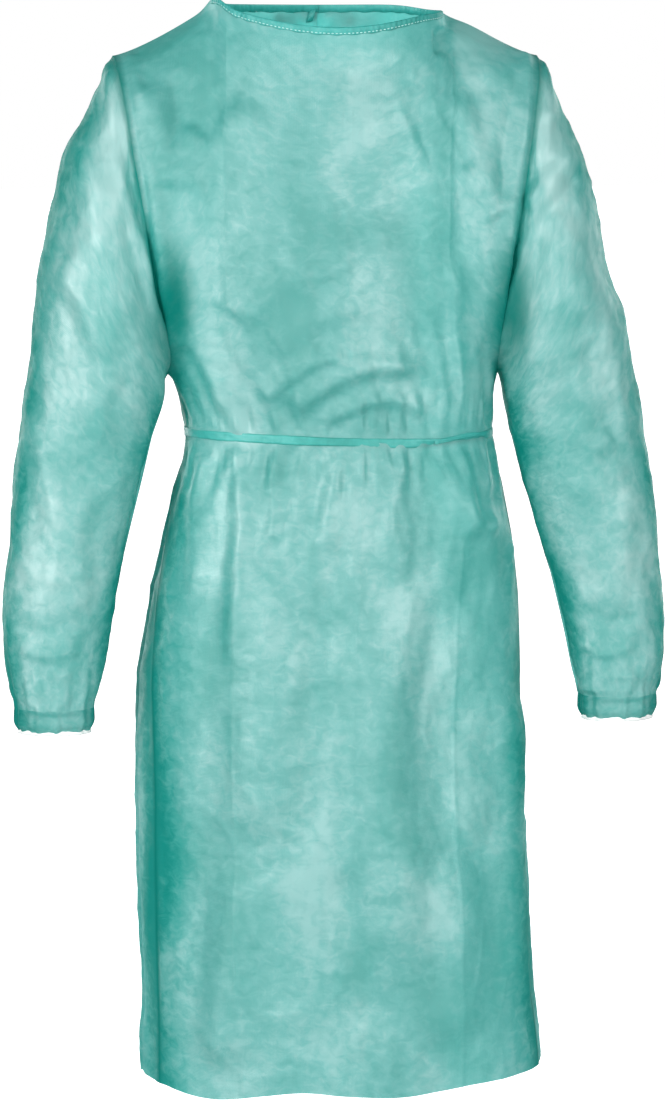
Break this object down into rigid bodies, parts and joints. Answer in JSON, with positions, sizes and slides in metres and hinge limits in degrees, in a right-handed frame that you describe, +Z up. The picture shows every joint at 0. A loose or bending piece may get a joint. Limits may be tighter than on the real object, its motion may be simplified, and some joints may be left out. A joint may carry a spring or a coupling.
{
  "type": "patient gown",
  "caption": "Thin nonwoven back-opening gown with long elastic-cuffed sleeves, bound neck, waist belt and ties at the back, standing as worn.",
  "frame": {"origin": "midway between the tops of the shoulders, where the gown rests on its wearer", "axes": "+Z up the wearer, -Y the way the wearer faces, +X to the wearer's left"},
  "size_m": [0.6976, 0.2952, 1.1097],
  "materials": {
    "nonwoven": "matte",
    "binding": "matte",
    "elastic": "matte",
    "thread": "satin"
  },
  "bodies": {
    "root": {"front_panel": "nonwoven", "neck_binding_front": "binding", "waist_belt": "nonwoven", "back_side_left": "nonwoven", "back_side_right": "nonwoven", "side_seam_left": "thread", "side_seam_right": "thread", "shoulder_seam_left": "thread", "shoulder_seam_right": "thread", "armhole_seam_left": "thread", "armhole_seam_right": "thread"},
    "arm_left": {"sleeve_left": "nonwoven", "cuff_casing_left": "nonwoven", "cuff_elastic_left": "elastic", "sleeve_seam_left": "thread"},
    "flap_left": {"back_flap_left": "nonwoven", "neck_binding_back_left": "binding", "waist_tie_left": "nonwoven", "neck_tie_left": "binding"},
    "arm_right": {"sleeve_right": "nonwoven", "cuff_casing_right": "nonwoven", "cuff_elastic_right": "elastic", "sleeve_seam_right": "thread"},
    "flap_right": {"back_flap_right": "nonwoven", "neck_binding_back_right": "binding", "waist_tie_right": "nonwoven", "neck_tie_right": "binding"}
  },
  "joints": [
    {"name": "sleeve_right_lift", "type": "hinge", "parent": "root", "child": "arm_right", "pos_m": [-0.224, 0, -0.04], "axis": [0, 1, 0], "range_deg": [0, 80]},
    {"name": "back_right_open", "type": "hinge", "parent": "root", "child": "flap_right", "pos_m": [-0.155, 0.079, -0.547], "axis": [0.0451, -0.0379, 0.9983], "range_deg": [0, 100]},
    {"name": "sleeve_left_lift", "type": "hinge", "parent": "root", "child": "arm_left", "pos_m": [0.224, 0, -0.04], "axis": [0, -1, 0], "range_deg": [0, 80]},
    {"name": "back_left_open", "type": "hinge", "parent": "root", "child": "flap_left", "pos_m": [0.155, 0.079, -0.547], "axis": [0.0451, 0.0379, -0.9983], "range_deg": [0, 100]}
  ]
}
